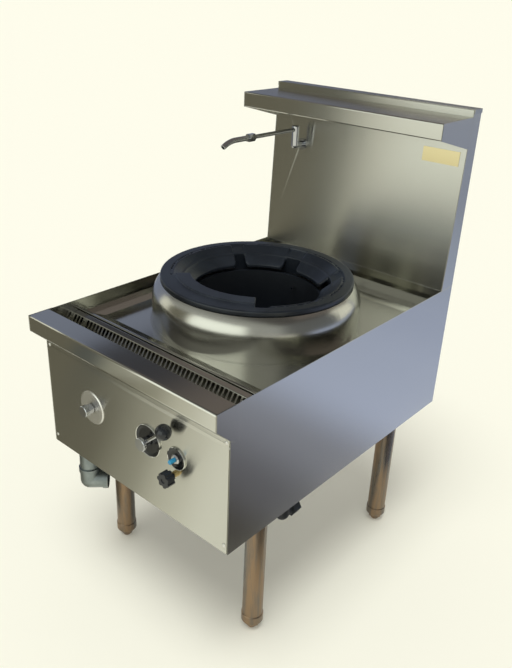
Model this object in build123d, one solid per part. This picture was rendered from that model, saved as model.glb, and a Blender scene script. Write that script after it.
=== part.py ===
from build123d import *
from math import cos, hypot, radians, sin
import os

# Free-standing wok range with one burner, a splashback with a shelf and a swing faucet,
# and a drain gutter along the front. Millimetres, +Z up, the cook stands towards -Y.
# The origin lies on the floor, under the axis of the wok ring.

# ---- Cabinet ----
width = 600.0              # over the side panels
cabinet_depth = 860.0      # face of the front panel to face of the rear panel
rim_height = 732.0         # top edge of the side panels
panel_height = 359.0       # side panel, top to bottom
ring_setback = 410.0       # face of the front panel to the axis of the wok ring
sheet = 1.5                # stainless sheet of the cabinet
bend = 2.0                 # inside radius of a folded edge
panel_gap = 1.8            # dark joint between the front panel and the side panels
panel_band = 19.0          # stepped band along the top of the front panel
panel_step = 0.8           # depth of that step
panel_ramp = 7.0           # height over which it steps back
panel_clearance = 1.5      # under the slope of the ledge
rear_return = 25.0         # flange down behind the deck's upstand
stile_size = 18.0          # angles that the front panel is screwed to
screw_radius = 2.0
screw_head_radius = 4.2
screw_head = 2.4
screw_inset = 11.0         # from the cabinet's corner to a panel screw
screw_low = 21.0           # screw above the skirt
screw_high = 8.0           # screw below the panel's top edge

# ---- Front ledge and gutter ----
ledge_reach = 40.0         # forward of the front panel
ledge_face = 39.0          # height of the fascia
ledge_drop = 77.0          # rim down to where the slope under the ledge meets the panel
ledge_land = 13.0          # top plate behind the panel's face
ledge_flange = 17.0        # flange behind the top band of the panel
nose_bend = 4.0            # rounded front edge of the ledge
cap_sheet = 1.5            # trim plates on the ends of the ledge
cap_depth = 25.0           # trim plate behind the panel's face
cap_drop = 84.0            # trim plate below the rim
cap_toe = 9.0              # front corner of its lower edge, behind the panel's face
cap_slant = 2.0            # rise of the lower edge at that corner
cap_corner = 5.0           # cut rear corner
gutter_sheet = 1.2
gutter_span = 91.0         # front wall to rear wall
gutter_depth = 82.0        # rim to the floor of the gutter
gutter_lip = 18.0          # flange under the ledge
gutter_rear_drop = 32.0    # rim to the top of its rear wall
rail_width = 8.0
rail_height = 6.0
strainer_foot = 28.0       # front wall to the foot of the strainer
strainer_foot_width = 8.0
strainer_run = 33.0        # slotted face, front to back
strainer_drop = 29.0       # rim to the top of the slotted face
strainer_rise = 2.0        # from there to the rear edge of the plain band
strainer_band = 15.5
strainer_gap = 0.8         # each end, to the side panels
slot_end = 4.9             # end of the guard to the first slot's pitch
slot_width = 7.6
slot_count = 48
blank_slot = 3             # the slot that is left out, counted from the left
slot_top_margin = 2.2
slot_foot = 17.0           # floor of the gutter to the slots

# ---- Deck, collar, chamber and wok ring ----
deck_drop = 46.0           # rim to the deck's floor
deck_rise = 12.0           # sloped bands round the floor
band_side = 36.5
band_front = 42.0
band_rear = 58.0
collar_sheet = 1.5
collar_foot_radius = 261.0
collar_radius = 255.5
collar_side = 56.0         # deck to where the spun side begins to close in
collar_bulge = 4.5         # fullness of the shoulder
lip_inner_radius = 200.0   # flat seat under the ring
lip_cone_radius = 187.0
lip_cone_drop = 10.0
ring_radius = 235.0
ring_rise = 118.0          # deck to the top of the ring
ring_thickness = 14.0
ring_shoulder = 203.0      # inner edge of the flat annulus
ring_edge = 2.5            # rounded outer edge
ring_overlap = 4.0         # pads and skirt into the annulus
pad_inner_radius = 155.0
pad_drop = 38.0
pad_thickness = 10.0
pad_corner = 12.0          # rounded lower corners of a pad
pad_edge = 3.5             # rounded rim of a pad
pad_spans = [(-5.0, 39.0), (51.0, 92.0), (106.0, 142.0), (151.0, 231.0), (319.0, 347.0)]
land_span = (231.0, 310.0)
land_rise = 4.0
land_outer_radius = 198.0
land_inner_radius = 163.0
notch_radius = 211.0       # the gaps between the pads run out to here
notch_drop = 5.0           # and start this far below the ring's top
skirt_radius = 185.5       # wall behind the pads, inside the collar's lip
skirt_wall = 5.0
skirt_top_drop = 16.0      # ring's top to the inner edge of a gap's floor
skirt_lap = 8.0            # chamber's top down to the skirt's lower edge
chamber_radius = 155.0
chamber_wall = 6.0
chamber_rise = 64.0        # deck to the top of the chamber
chamber_ledge_radius = 120.0
chamber_ledge_gap = 12.0   # jets' tips to the top of that ledge
chamber_ledge = 6.0
chamber_flange_radius = 215.0
chamber_flange = 5.0
chamber_clearance = 6.0    # under the chamber, above the feed pipe
deck_hole_gap = 3.0
insulation_radius = 243.0
insulation_height = 52.0
probe_radius = 3.0
probe_length = 14.0
probe_rise = 35.0          # deck to the probe's axis

# ---- Burner and gas line ----
burner_radius = 92.0
burner_thickness = 24.0
burner_edge = 6.0          # bevel round the casting
burner_boss_radius = 15.5
burner_boss = 26.0
burner_boss_root = 20.0    # boss inside the rim of the casting
burner_boss_height = 8.0   # its axis, above the underside
jet_ring_inner = 22.0
jet_ring_middle = 50.0
jet_ring_outer = 77.0
jet_counts = [4, 8, 12]
jet_radius = 6.5
jet_tip_radius = 3.5
jet_height = 22.0
jet_waist = 10.0           # straight foot of a jet
bearer_width = 40.0        # bar that carries the burner
bearer_height = 12.0
gas_pipe_radius = 13.5
gas_pipe_bend = 32.0
gas_pipe_rise = 28.0       # above the chassis rails
pipe_gap = 3.5             # between the riser and the chassis rail
gas_inlet_inset = 19.5     # from the right side panel
gas_inlet_drop = 50.0      # underside of the chassis to the inlet's axis
gas_elbow_radius = 17.0
gas_elbow_top = 22.0
gas_union_length = 45.0
gas_union_flats = 37.0
gas_union_nut = 22.0
gas_bore = 10.0
gas_thread_radius = 12.06  # female pipe thread, at its crests
gas_thread_depth = 16.0
control_depth = 40.0       # face of the front panel to the axis of the valve bodies
valve_radius = 17.0
valve_half_length = 35.0
valve_x = 62.0
valve_drop = 188.5         # rim to the valve's axis
valve_neck_radius = 8.0
valve_neck = 9.0           # neck in front of the panel
valve_nut_radius = 14.0
valve_nut = 6.0
dish_radius = 39.0
dish_depth = 3.0
dish_hollow = 1.4          # thickness in the middle of the dish
rim_ring = 1.6
rim_ring_depth = 4.0
running_gap = 0.1
head_bevel = 1.2
head_radius = 11.0
head_cap_radius = 15.5
head_cap = 7.0
head_front = 26.0          # front face of the head, ahead of the panel
lever_radius = 4.0
lever_length = 98.0        # valve axis to the centre of the ball
lever_root = 14.5          # arm ahead of the panel, at the head
lever_tip = 22.0           # arm ahead of the panel, at the ball
lever_angle = 42.0
lever_ball_radius = 17.5
lever_ball_seat = 6.0
feed_lift = 29.5           # top of the valve to the feed pipe's first run
feed_fall = 18.0           # from there down to the burner's boss
feed_bend = 14.0
feed_shelf = 45.0          # level run behind the valve
feed_slope_end = 90.0      # end of the slope, in front of the boss
feed_straight = 40.0       # straight run into the boss

# ---- Igniter button and pilot ----
button_x = 150.5
button_drop = 191.0        # rim to the button's axis
button_radius = 5.0
button_front = 22.0
button_travel = 6.0
button_tail = 10.0         # button behind the panel's face, at rest
button_dish_radius = 26.5
button_neck_radius = 8.0
button_nut_radius = 11.0
button_nut = 8.0
igniter_radius = 11.0
igniter_length = 62.0
knob_x = 148.0
knob_drop = 230.0          # rim to the knob's axis
knob_radius = 17.5
knob_lobes = 7
knob_flute_radius = 4.5
knob_front = 38.0
knob_thickness = 20.0
knob_recess_flats = 11.0   # hexagonal recess in the knob's front
knob_recess = 1.5
knob_stem_radius = 4.0
knob_flute_inset = 1.0     # centres of the flutes, outside the knob's circle
knob_stem = 4.0            # stem inside the valve's neck
pilot_neck_radius = 7.0
pilot_neck = 9.0
pilot_valve_radius = 12.0
pilot_branch_radius = 7.0
pilot_tube_radius = 3.0
pilot_tube_bend = 12.0
pilot_tube_rise = 12.0     # above the burner's seat
pilot_tube_shelf = 34.0    # level run behind the pilot valve
pilot_tube_corner = 120.0  # in front of the burner's axis
pilot_tube_turn = 70.0
pilot_x = 106.0
pilot_radius = 7.0
pilot_reach = 6.0          # pilot's tip above the jets
pilot_hood = 2.0           # collar round the tip
pilot_hood_height = 12.0
pilot_hood_edge = 3.0

# ---- Water tap, pipes and faucet ----
tap_x = -134.0
tap_drop = 192.0           # rim to the tap's axis
escutcheon_radius = 42.0
escutcheon = 2.6
tap_neck_radius = 9.0
tap_neck = 11.0
tap_head_radius = 12.0
tap_cap_radius = 14.0
tap_cap = 12.0
tap_front = 28.0
tap_body_radius = 14.0
tap_half_length = 30.0
water_pipe_radius = 7.5
water_pipe_bend = 20.0
water_pipe_rise = 40.0     # above the chassis rails
faucet_feed_drop = 60.0    # deck to the feed pipe under it
water_inlet_setback = 52.0 # in front of the rear panel's face
water_inlet_drop = 48.0    # underside of the chassis to the inlet's mouth
water_inlet_radius = 10.48  # male pipe thread, at its crests
water_nut_flats = 27.0
water_bore = 7.0
water_nut = 14.0
water_thread = 18.0        # below the nut
water_nut_roof = 8.0       # closed end of the nut
faucet_feed_shelf = 60.0   # level run behind the tap
faucet_feed_turn = 130.0
faucet_inset = 102.0       # from the cabinet's left side
faucet_rise = 299.0        # rim to the faucet's spigot
faucet_flange_radius = 16.0
faucet_flange = 4.0
faucet_radius = 9.5
faucet_offset = 34.0       # face of the splashback to the swing axis
faucet_riser = 31.0        # spigot to the top of the body
faucet_elbow_depth = 12.0  # face of the splashback to the feed pipe's axis
arm_pin_radius = 5.0
arm_pin = 22.0
arm_lift = 12.0            # top of the body to the arm's axis
arm_hub_radius = 10.0
arm_hub = 23.0             # height of the hub on the body
arm_radius = 5.5
arm_length = 176.0         # swing axis to the swivel nut
swivel_nut = 23.0
swivel_nut_flats = 19.0
nozzle_journal_radius = 4.0
nozzle_radius = 7.0
nozzle_straight = 46.0
nozzle_arc_radius = 90.0
nozzle_arc = 31.0          # degrees of downward curve
nozzle_bore = 5.2

# ---- Splashback and shelf ----
splash_rise = 16.0         # top of the splashback above the shelf
splash_foot = 57.0         # thickness at the bottom
splash_head = 39.0         # thickness at the top
splash_cap_sheet = 1.5
splash_cap_lip = 9.0
shelf_rise = 439.0         # rim to the shelf
shelf_reach = 127.0        # foot of the splashback to the fascia
shelf_face = 39.0
shelf_hem = 12.0
gusset_drop = 75.0         # shelf to the lower end of the gussets
plate_inset = 17.0         # from the cabinet's right side
plate_length = 100.0
plate_drop = 84.0          # shelf to the plate's top edge
plate_height = 35.0
plate_sheet = 1.2

# ---- Chassis, legs, feet and drain ----
chassis_width = 50.0
chassis_height = 30.0
chassis_wall = 2.0
chassis_drop = 78.5        # lower end of the gas valve to the chassis rails
leg_inset = 60.0           # cabinet's side to a leg's axis
leg_front_setback = 163.0  # front panel's face to the front legs
leg_rear_setback = 138.0   # rear panel's face to the rear legs
leg_radius = 25.4
leg_wall = 2.0
leg_foot = 47.0            # lower end of the leg tube
sleeve_radius = 27.2
sleeve_bottom = 22.0
sleeve_spigot = 40.0
foot_stem_radius = 9.0
foot_stem_top = 84.0
foot_sole_radius = 11.0
foot_flats = 34.0
foot_cone = 10.0
drain_inset = 57.0         # cabinet's left side to the drain's axis
drain_setback = 55.0       # face of the front panel to the drain's axis
drain_radius = 24.15
drain_wall = 3.2
drain_flange_radius = 30.0
drain_flange = 5.0
elbow_drop = 398.0         # floor of the gutter to the centre of the elbow
elbow_reach = 47.0
elbow_inlet = 39.0
elbow_radius = 25.5
elbow_bead_radius = 27.5
elbow_bead = 13.0
elbow_turn = 45.0          # direction of the outlet, from +X towards +Y

# ---- Worked out from the values above ----
half_width = width / 2
inner_x = half_width - sheet
front_y = -ring_setback
rear_y = front_y + cabinet_depth
panel_back_y = front_y + sheet
panel_top = rim_height - ledge_drop
skirt_height = rim_height - panel_height
ledge_front_y = front_y - ledge_reach
ledge_top_z = rim_height - sheet

gutter_front_y = front_y + ledge_land
gutter_rear_y = gutter_front_y + gutter_span
gutter_floor = rim_height - gutter_depth
gutter_rear_top = rim_height - gutter_rear_drop
strainer_crease = rim_height - strainer_drop
strainer_top = strainer_crease + strainer_rise
slot_low = gutter_floor + slot_foot
slot_pitch = 2 * (inner_x - strainer_gap - slot_end) / slot_count

deck_front_y = gutter_rear_y + gutter_sheet
deck_rear_y = rear_y - splash_foot
deck_height = rim_height - deck_drop
crease_height = deck_height + deck_rise
collar_shoulder = deck_height + collar_side
ring_top = deck_height + ring_rise
ring_seat = ring_top - ring_thickness
chamber_top = deck_height + chamber_rise
insulation_top = deck_height + insulation_height
probe_height = deck_height + probe_rise

control_y = front_y + control_depth
valve_height = rim_height - valve_drop
button_height = rim_height - button_drop
knob_height = rim_height - knob_drop
tap_height = rim_height - tap_drop
valve_top = valve_height + valve_half_length
feed_start = valve_top + feed_lift
feed_height = feed_start - feed_fall
burner_seat = feed_height - burner_boss_height
jet_base = burner_seat + burner_thickness
pilot_height = jet_base + jet_height + pilot_reach
pilot_tube_height = burner_seat + pilot_tube_rise
chamber_floor = feed_height + gas_pipe_radius + chamber_clearance
chamber_ledge_height = jet_base + jet_height + chamber_ledge_gap

leg_x = half_width - leg_inset
leg_front_y = front_y + leg_front_setback
leg_rear_y = rear_y - leg_rear_setback
chassis_top = valve_height - valve_half_length - chassis_drop
chassis_bottom = chassis_top - chassis_height
gas_pipe_height = chassis_top + gas_pipe_rise
gas_inlet_x = inner_x - gas_inlet_inset
gas_inlet_y = leg_front_y + chassis_width / 2 + gas_pipe_radius + pipe_gap
gas_inlet_height = chassis_bottom - gas_inlet_drop
water_low = chassis_top + water_pipe_rise
water_high = deck_height - faucet_feed_drop
water_inlet_y = rear_y - water_inlet_setback
water_inlet_bottom = chassis_bottom - water_inlet_drop
water_nut_z = water_inlet_bottom + water_thread

faucet_x = faucet_inset - half_width
faucet_height = rim_height + faucet_rise
faucet_riser_top = faucet_height + faucet_riser
arm_height = faucet_riser_top + arm_lift
arm_hub_top = faucet_riser_top + arm_hub
shelf_height = rim_height + shelf_rise
shelf_front = deck_rear_y - shelf_reach
splash_top = shelf_height + splash_rise
gusset_low = shelf_height - gusset_drop
plate_top = shelf_height - plate_drop
plate_bottom = plate_top - plate_height
plate_right = half_width - plate_inset
plate_left = plate_right - plate_length
drain_x = drain_inset - half_width
drain_y = front_y + drain_setback
elbow_height = gutter_floor - elbow_drop
foot_corners = {
    "front_left": (-leg_x, leg_front_y), "front_right": (leg_x, leg_front_y),
    "rear_left": (-leg_x, leg_rear_y), "rear_right": (leg_x, leg_rear_y),
}


def splash_y(height):
    """Face of the leaning splashback at a height."""
    lean = (splash_foot - splash_head) / (splash_top - rim_height)
    return deck_rear_y + lean * (height - rim_height)


def faucet_riser_y():
    """Axis of the pipe that rises inside the splashback."""
    return splash_y(faucet_height) + faucet_elbow_depth


# ---- Shapes that many pieces share ----
def block(x0, x1, y0, y1, z0, z1):
    """Box between two corners, given in any order."""
    centre = Pos((x0 + x1) / 2, (y0 + y1) / 2, (z0 + z1) / 2)
    return centre * Box(abs(x1 - x0), abs(y1 - y0), abs(z1 - z0))


def rod_x(y, z, x0, x1, radius):
    return Pos((x0 + x1) / 2, y, z) * Rot(0, 90, 0) * Cylinder(radius, abs(x1 - x0))


def rod_y(x, z, y0, y1, radius):
    return Pos(x, (y0 + y1) / 2, z) * Rot(90, 0, 0) * Cylinder(radius, abs(y1 - y0))


def rod_z(x, y, z0, z1, radius):
    return Pos(x, y, (z0 + z1) / 2) * Cylinder(radius, abs(z1 - z0))


def slab(points, x0, x1):
    """Flat plate or bar whose (y, z) outline runs from x0 to x1."""
    face = make_face(Polyline(*points, close=True))
    return extrude(Plane.YZ.offset(min(x0, x1)) * face, amount=abs(x1 - x0))


def turned(points):
    """Ring or disc spun about Z from its (radius, height) outline."""
    face = make_face(Polyline(*points, close=True))
    return revolve(Plane.XZ * face, Axis.Z)


def arc_of(points, start, end):
    """Part of a turned ring between two angles, counted from +X towards +Y."""
    face = make_face(Polyline(*points, close=True))
    return Rot(0, 0, start) * revolve(Plane.XZ * face, Axis.Z, revolution_arc=end - start)


def facing_front(x, z, shape):
    """A shape spun about Z, laid so that its height points at the cook from the panel's face."""
    return Pos(x, front_y, z) * Rot(90, 0, 0) * shape


def shifted(points, distance):
    """The (y, z) path moved sideways with mitred corners, to its right where distance is positive."""
    moved = []
    for index, (y, z) in enumerate(points):
        before = points[max(index - 1, 0)]
        after = points[min(index + 1, len(points) - 1)]
        sides = [(points[index], after)] if index == 0 else [(before, points[index])]
        if 0 < index < len(points) - 1:
            sides = [(before, points[index]), (points[index], after)]
        normals = []
        for (y0, z0), (y1, z1) in sides:
            run = Vector(y1 - y0, z1 - z0).normalized()
            normals.append(Vector(run.Y, -run.X))
        mean = sum(normals[1:], normals[0])
        mitre = mean * (distance / mean.dot(normals[0]))
        moved.append((y + mitre.X, z + mitre.Y))
    return moved


def fold(points, thickness, x0, x1, bends=None):
    """Folded sheet: the (y, z) points follow one face and the metal lies on their right."""
    other = shifted(points, thickness)
    face = make_face(Polyline(*points, *reversed(other), close=True))
    for index in range(1, len(points) - 1):
        into = Vector(*points[index]) - Vector(*points[index - 1])
        out = Vector(*points[index + 1]) - Vector(*points[index])
        radius = bends[index - 1] if bends else bend
        turns_right = into.cross(out).Z < 0
        near, far = (radius + thickness, radius) if turns_right else (radius, radius + thickness)
        for corner, size in ((points[index], near), (other[index], far)):
            vertex = face.vertices().sort_by_distance(Vector(*corner))[0]
            face = fillet(vertex, size)
    return extrude(Plane.YZ.offset(min(x0, x1)) * face, amount=abs(x1 - x0))


def pipe(points, radius, corner):
    """Solid bar along straight runs that are joined by bends."""
    path = FilletPolyline(*points, radius=corner)
    section = Plane(origin=path @ 0, z_dir=path % 0) * Circle(radius)
    return sweep(section, path)


def hexagon_bar(flats, length):
    """Hexagonal bar standing on its end at the origin."""
    return extrude(RegularPolygon(flats / 2, 6, major_radius=False), amount=length)


# ---- Cabinet shell ----
def side_panel(side):
    """Flat side with an ear that carries the end of the ledge."""
    outline = [
        (ledge_front_y, rim_height), (ledge_front_y, rim_height - ledge_face), (front_y, panel_top),
        (front_y, skirt_height), (rear_y, skirt_height), (rear_y, rim_height),
    ]
    return slab(outline, side * inner_x, side * half_width)


def front_stile(side):
    """Angle inside the cabinet's front corner that takes the panel's screws."""
    top = panel_top - panel_band - bend
    face = block(side * (inner_x - stile_size), side * inner_x, panel_back_y, panel_back_y + sheet,
                 skirt_height, top)
    leg = block(side * (inner_x - sheet), side * inner_x, panel_back_y, panel_back_y + stile_size,
                skirt_height, top)
    return face + leg - screw_shanks()


def screw_places():
    return [(side * (half_width - screw_inset), height)
            for side in (-1, 1)
            for height in (skirt_height + screw_low, panel_top - screw_high)]


def screw_shanks():
    """Shanks as long as the panel and what lies behind it."""
    return Part() + [rod_y(x, z, front_y, front_y + panel_step + 2 * sheet, screw_radius)
                     for x, z in screw_places()]


def panel_screws():
    """Domed heads with their shanks."""
    screws = []
    for x, z in screw_places():
        face = front_y + (panel_step if z > panel_top - panel_band else 0.0)
        dome = Pos(x, face, z) * Rot(90, 0, 0) * turned([
            (0, 0), (screw_head_radius, 0), (screw_head_radius, screw_head * 0.35),
            (screw_head_radius * 0.6, screw_head * 0.85), (0, screw_head)])
        screws.append(dome + rod_y(x, z, face, face + 2 * sheet, screw_radius))
    return screws


def front_panel():
    """Front sheet, stepped back along its top so that it passes under the ledge."""
    half = inner_x - panel_gap
    step_top = panel_top - panel_band + panel_ramp
    path = [(front_y, skirt_height), (front_y, panel_top - panel_band),
            (front_y + panel_step, step_top), (front_y + panel_step, panel_top - panel_clearance)]
    panel = fold(path, sheet, -half, half, bends=[bend, bend])
    through = [
        rod_y(tap_x, tap_height, front_y - 1, control_y, tap_neck_radius),
        rod_y(valve_x, valve_height, front_y - 1, control_y, valve_neck_radius),
        rod_y(button_x, button_height, front_y - 1, control_y, button_neck_radius),
        rod_y(knob_x, knob_height, front_y - 1, control_y, pilot_neck_radius),
    ]
    return panel - through - screw_shanks()


def rear_panel():
    """Rear sheet, folded forward at its top to carry the splashback."""
    path = [(rear_y, skirt_height), (rear_y, rim_height), (deck_rear_y + sheet, rim_height),
            (deck_rear_y + sheet, rim_height - rear_return)]
    path = list(reversed(path))
    panel = fold(path, sheet, -inner_x, inner_x)
    return panel - rod_z(faucet_x, faucet_riser_y(), rim_height - 10, rim_height + 10,
                         water_pipe_radius + 1.5)


def front_ledge():
    """Bull-nosed ledge: top plate, fascia, slope and the flange behind the front panel."""
    flange_y = front_y + panel_step + sheet
    path = [(gutter_front_y, rim_height), (ledge_front_y, rim_height),
            (ledge_front_y, rim_height - ledge_face), (flange_y, panel_top),
            (flange_y, panel_top - ledge_flange)]
    path = list(reversed(path))
    ledge = fold(path, sheet, -inner_x, inner_x, bends=[bend, nose_bend, nose_bend])
    return ledge - screw_shanks()


def ledge_caps():
    """Trim plates on both ends of the ledge."""
    back = front_y + cap_depth
    low = rim_height - cap_drop
    outline = [
        (ledge_front_y, rim_height), (ledge_front_y, rim_height - ledge_face), (front_y, panel_top),
        (front_y + cap_toe, low + cap_slant), (back - cap_corner, low), (back, low + cap_corner),
        (back, rim_height),
    ]
    return [slab(outline, side * half_width, side * (half_width + cap_sheet)) for side in (-1, 1)]


def gutter_trough():
    """Folded gutter hung under the ledge, with the hole for the drain."""
    path = [(gutter_front_y - gutter_lip, ledge_top_z), (gutter_front_y, ledge_top_z),
            (gutter_front_y, gutter_floor), (gutter_rear_y, gutter_floor), (gutter_rear_y, gutter_rear_top)]
    trough = fold(path, gutter_sheet, -inner_x, inner_x)
    return trough - rod_z(drain_x, drain_y, gutter_floor - 5, gutter_floor + 5, drain_radius - drain_wall)


def gutter_strainer():
    """Slotted guard that stands in the gutter and lifts out."""
    foot_y = gutter_front_y + strainer_foot
    face_y = foot_y + strainer_foot_width
    crease_y = face_y + strainer_run
    back_y = crease_y + strainer_band
    half = inner_x - strainer_gap
    floor = gutter_floor + gutter_sheet
    path = [(foot_y, floor), (face_y, floor), (crease_y, strainer_crease), (back_y, strainer_top),
            (back_y, gutter_floor)]
    guard = fold(path, gutter_sheet, -half, half)
    first = -slot_pitch * (slot_count - 1) / 2
    slots = [block(first + index * slot_pitch - slot_width / 2, first + index * slot_pitch + slot_width / 2,
                   foot_y, back_y - 2 * gutter_sheet, slot_low, strainer_crease - slot_top_margin)
             for index in range(slot_count) if index != blank_slot]
    return guard - slots


def gutter_rail():
    """Rounded bar on the edge between the gutter and the deck."""
    middle = gutter_rear_y + gutter_sheet / 2
    bar = block(-inner_x, inner_x, middle - rail_width / 2, middle + rail_width / 2,
                gutter_rear_top, gutter_rear_top + rail_height)
    top = bar.edges().filter_by(Axis.X).group_by(Axis.Z)[-1]
    return fillet(top, rail_width * 0.3)


# ---- Deck and burner seat ----
def deck_rectangle(inset_x, inset_front, inset_rear, z):
    y0 = deck_front_y + inset_front
    y1 = deck_rear_y - inset_rear
    return Pos(0, (y0 + y1) / 2, z) * Rectangle(2 * (inner_x - inset_x), y1 - y0)


def deck_basin(z):
    """Space above the deck's floor and its four sloped bands."""
    low = deck_rectangle(band_side, band_front, band_rear, z)
    high = deck_rectangle(0, 0, 0, z + deck_rise)
    return loft([low, high], ruled=True)


def deck_pan():
    """Pressed deck with sloped bands, a round hole and an upstand at the back."""
    lip = extrude(deck_rectangle(0, 0, 0, crease_height - sheet), amount=sheet)
    pan = deck_basin(deck_height - sheet) + lip - deck_basin(deck_height)
    upstand = block(-inner_x, inner_x, deck_rear_y, deck_rear_y + sheet, crease_height - sheet, rim_height)
    hole = rod_z(0, 0, deck_height - 10, deck_height + 10, chamber_radius + chamber_wall + deck_hole_gap)
    return pan + upstand - hole


def burner_collar():
    """Spun collar that stands on the deck and carries the ring on its turned-in lip."""
    def outline(inset):
        knee = (collar_radius - inset, collar_shoulder)
        brow = (ring_radius - inset * 0.6, ring_seat - inset)
        middle = ((knee[0] + brow[0]) / 2 + collar_bulge, (knee[1] + brow[1]) / 2 + collar_bulge)
        return knee, middle, brow

    knee, middle, brow = outline(0.0)
    knee_in, middle_in, brow_in = outline(collar_sheet)
    section = make_face([
        Polyline((collar_foot_radius, deck_height), (collar_foot_radius, deck_height + collar_sheet),
                 (collar_radius, deck_height + collar_sheet), knee),
        ThreePointArc(knee, middle, brow),
        Polyline(brow, (lip_inner_radius, ring_seat), (lip_cone_radius, ring_seat - lip_cone_drop),
                 (lip_cone_radius, ring_seat - lip_cone_drop - collar_sheet),
                 (lip_inner_radius, ring_seat - collar_sheet), brow_in),
        ThreePointArc(brow_in, middle_in, knee_in),
        Polyline(knee_in, (collar_radius - collar_sheet, deck_height), (collar_foot_radius, deck_height)),
    ])
    return revolve(Plane.XZ * section, Axis.Z)


def insulation_ring():
    """Refractory ring between the chamber and the collar."""
    return turned([(chamber_radius + chamber_wall, deck_height), (insulation_radius, deck_height),
                   (insulation_radius, insulation_top), (chamber_radius + chamber_wall, insulation_top)])


def chamber_liner():
    """Cast chamber with an inner ledge, bolted under the deck by its flange."""
    outer = chamber_radius + chamber_wall
    flange_top = deck_height - sheet
    return turned([
        (chamber_radius, chamber_top), (outer, chamber_top), (outer, flange_top),
        (chamber_flange_radius, flange_top), (chamber_flange_radius, flange_top - chamber_flange),
        (outer, flange_top - chamber_flange), (outer, chamber_floor), (chamber_radius, chamber_floor),
        (chamber_radius, chamber_ledge_height - chamber_ledge),
        (chamber_ledge_radius, chamber_ledge_height - chamber_ledge),
        (chamber_ledge_radius, chamber_ledge_height), (chamber_radius, chamber_ledge_height),
    ])


def flame_probe():
    """Pin that looks into the flame from the chamber's rear wall."""
    pin = rod_y(0, probe_height, chamber_radius - probe_length, chamber_radius + 1, probe_radius)
    return pin & rod_z(0, 0, chamber_floor, chamber_top, chamber_radius)


def ring_pad(start, end):
    """Sloped pad that a wok rests on, with rounded corners and rim."""
    underside = ring_top - pad_thickness
    outline = [
        (pad_inner_radius, ring_top - pad_drop), (ring_shoulder, ring_top),
        (ring_shoulder + ring_overlap, ring_top), (ring_shoulder + ring_overlap, underside),
        (ring_shoulder, underside),
        (pad_inner_radius, underside - pad_drop),
    ]
    pad = arc_of(outline, start, end)
    corners = pad.edges().filter_by(Axis.Z).sort_by_distance((0, 0, ring_top - pad_drop))[:2]
    pad = fillet(corners, pad_corner)
    slope = pad.faces().filter_by(GeomType.CONE).sort_by(Axis.Z)[-1]
    inside = ring_shoulder - ring_overlap
    rim = [edge for edge in slope.edges() if (edge @ 0.5).Z < ring_top - ring_edge
           or hypot((edge @ 0.5).X, (edge @ 0.5).Y) < inside]
    return fillet(rim, pad_edge)


def wok_ring():
    """Cast ring: flat annulus, skirt, sloped pads with gaps between them, and one raised land."""
    annulus = turned([(ring_shoulder, ring_seat), (ring_radius, ring_seat), (ring_radius, ring_top),
                      (ring_shoulder, ring_top)])
    rims = annulus.edges().filter_by(GeomType.CIRCLE).sort_by(SortBy.RADIUS)[-2:]
    annulus = fillet(rims, ring_edge)
    inner = skirt_radius - skirt_wall
    notch_floor = [(inner, ring_top - skirt_top_drop), (notch_radius, ring_top - notch_drop)]
    annulus -= turned([*notch_floor, (notch_radius, ring_top + 1), (inner, ring_top + 1)])
    skirt = turned([
        *notch_floor, (notch_radius, ring_seat), (ring_shoulder, ring_seat),
        (ring_shoulder, ring_seat + ring_overlap / 2),
        (skirt_radius, ring_seat - lip_cone_drop + ring_overlap),
        (skirt_radius, chamber_top - skirt_lap), (inner, chamber_top - skirt_lap)])
    land_outline = [
        (land_inner_radius, ring_top - pad_thickness), (land_inner_radius, ring_top + land_rise),
        (land_outer_radius, ring_top + land_rise), (land_outer_radius, ring_top),
        (notch_radius, ring_top), (notch_radius, ring_top - pad_thickness),
    ]
    ring = annulus + skirt + arc_of(land_outline, *land_span)
    for start, end in pad_spans:
        ring += ring_pad(start, end)
    return ring


# ---- Burner ----
def burner_bearer():
    """Flat bar across the cabinet that carries the burner."""
    return block(-inner_x, inner_x, -bearer_width / 2, bearer_width / 2,
                 burner_seat - bearer_height, burner_seat)


def burner_body():
    """Hollow casting, round, with the boss that takes the feed pipe."""
    inner = burner_radius - burner_edge
    disc = turned([(0, burner_seat), (inner, burner_seat), (burner_radius, burner_seat + burner_edge),
                   (burner_radius, jet_base - burner_edge), (inner, jet_base), (0, jet_base)])
    return disc + rod_y(0, feed_height, -burner_radius - burner_boss, -burner_radius + burner_boss_root,
                        burner_boss_radius)


def burner_jets():
    """Brass nozzles in three rings on the burner."""
    rings = (jet_ring_inner, jet_ring_middle, jet_ring_outer)
    nozzle = turned([(0, jet_base), (jet_radius, jet_base), (jet_radius, jet_base + jet_waist),
                     (jet_tip_radius, jet_base + jet_height), (0, jet_base + jet_height)])
    return [Rot(0, 0, 360.0 * index / count) * Pos(ring, 0, 0) * nozzle
            for ring, count in zip(rings, jet_counts) for index in range(count)]


def pilot_burner():
    """Pilot tip beside the jets, standing on the bearer."""
    hood = pilot_height - pilot_hood_height
    shoulder = pilot_height - pilot_hood_edge
    tip = turned([(0, burner_seat), (pilot_radius, burner_seat), (pilot_radius, hood),
                  (pilot_radius + pilot_hood, hood), (pilot_radius + pilot_hood, shoulder),
                  (pilot_radius - pilot_hood, pilot_height), (0, pilot_height)])
    return Pos(pilot_x, 0, 0) * tip


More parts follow.
